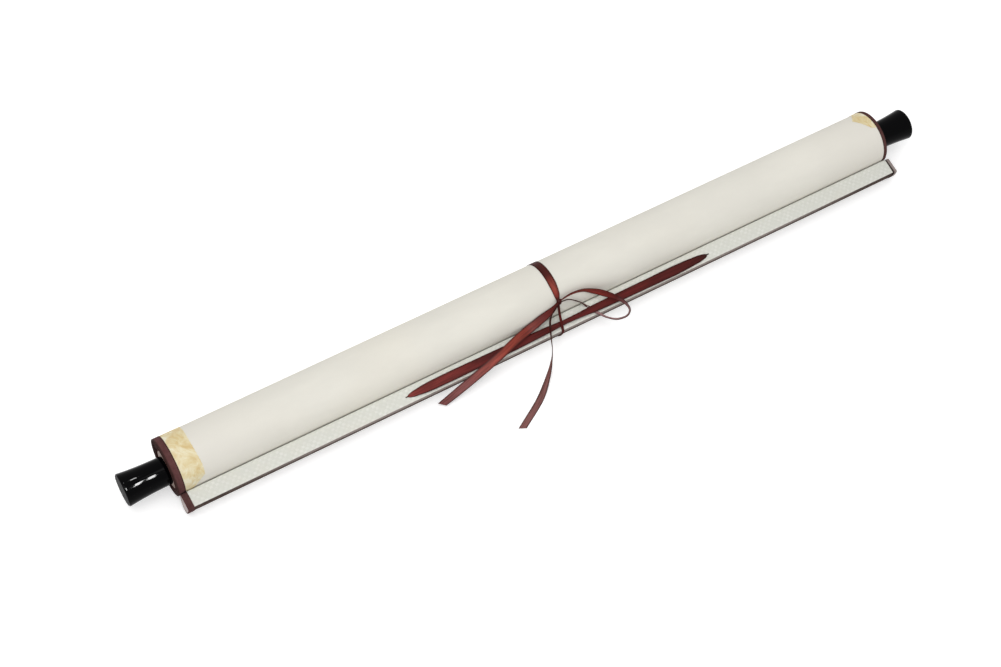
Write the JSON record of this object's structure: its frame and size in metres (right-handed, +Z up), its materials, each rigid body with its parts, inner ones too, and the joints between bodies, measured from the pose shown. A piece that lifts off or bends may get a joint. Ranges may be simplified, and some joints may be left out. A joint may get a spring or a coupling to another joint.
{
  "type": "hanging scroll",
  "caption": "Hanging scroll rolled up and tied: paper wound on a rod with flared black end knobs, a half-round lath along the front, a hanging ribbon and a tie ribbon in a bow.",
  "frame": {"origin": "centre of the box of the scroll without its two loose ribbons, on the surface it lies on", "axes": "+X along the roll towards its right end, +Y away from the lath, +Z up"},
  "size_m": [0.6902, 0.1127, 0.0449],
  "materials": {
    "paper": "matt off-white backing paper",
    "binding_cloth": "dull maroon-brown cloth",
    "gold_silk": "pale gold silk",
    "rod_wood": "plain softwood",
    "black_lacquer": "gloss black",
    "lath_wood": "plain softwood",
    "damask": "figured greenish-cream damask",
    "ribbon_silk": "satin ribbon, brick red to maroon"
  },
  "bodies": {
    "root": {"roller_rod": "rod_wood", "left_knob": "black_lacquer", "right_knob": "black_lacquer", "mount_sheet": "paper", "left_edge_binding": "binding_cloth", "right_edge_binding": "binding_cloth", "left_gold_patch": "gold_silk", "right_gold_patch": "gold_silk", "lath_core": "lath_wood", "lath_facing": "damask", "lath_edge_cloth": "binding_cloth", "left_lath_wrap": "binding_cloth", "right_lath_wrap": "binding_cloth", "hanging_ribbon": "ribbon_silk", "tie_ribbon": "ribbon_silk"}
  },
  "joints": []
}
